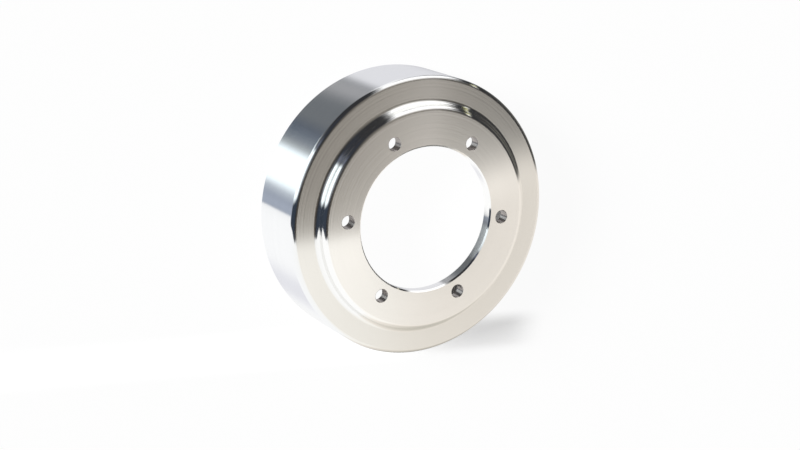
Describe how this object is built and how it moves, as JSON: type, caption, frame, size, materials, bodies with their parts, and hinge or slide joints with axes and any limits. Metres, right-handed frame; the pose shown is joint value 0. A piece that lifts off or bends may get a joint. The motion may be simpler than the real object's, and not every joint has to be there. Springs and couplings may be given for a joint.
{
  "type": "fan drive pulley",
  "caption": "Flat-faced fan drive pulley: an open-backed aluminium drum with a raised, bored hub face and a ring of bolt holes.",
  "frame": {"origin": "on the axis of rotation, in the plane of the rim's open edge, which the pulley stands on", "axes": "+Z along the axis of rotation, from the rim's open edge to the hub face; +X through one bolt hole"},
  "size_m": [0.18, 0.18, 0.0523],
  "materials": {
    "turned_aluminium": "turned and polished"
  },
  "bodies": {
    "root": {"pulley": "turned_aluminium"}
  },
  "joints": []
}
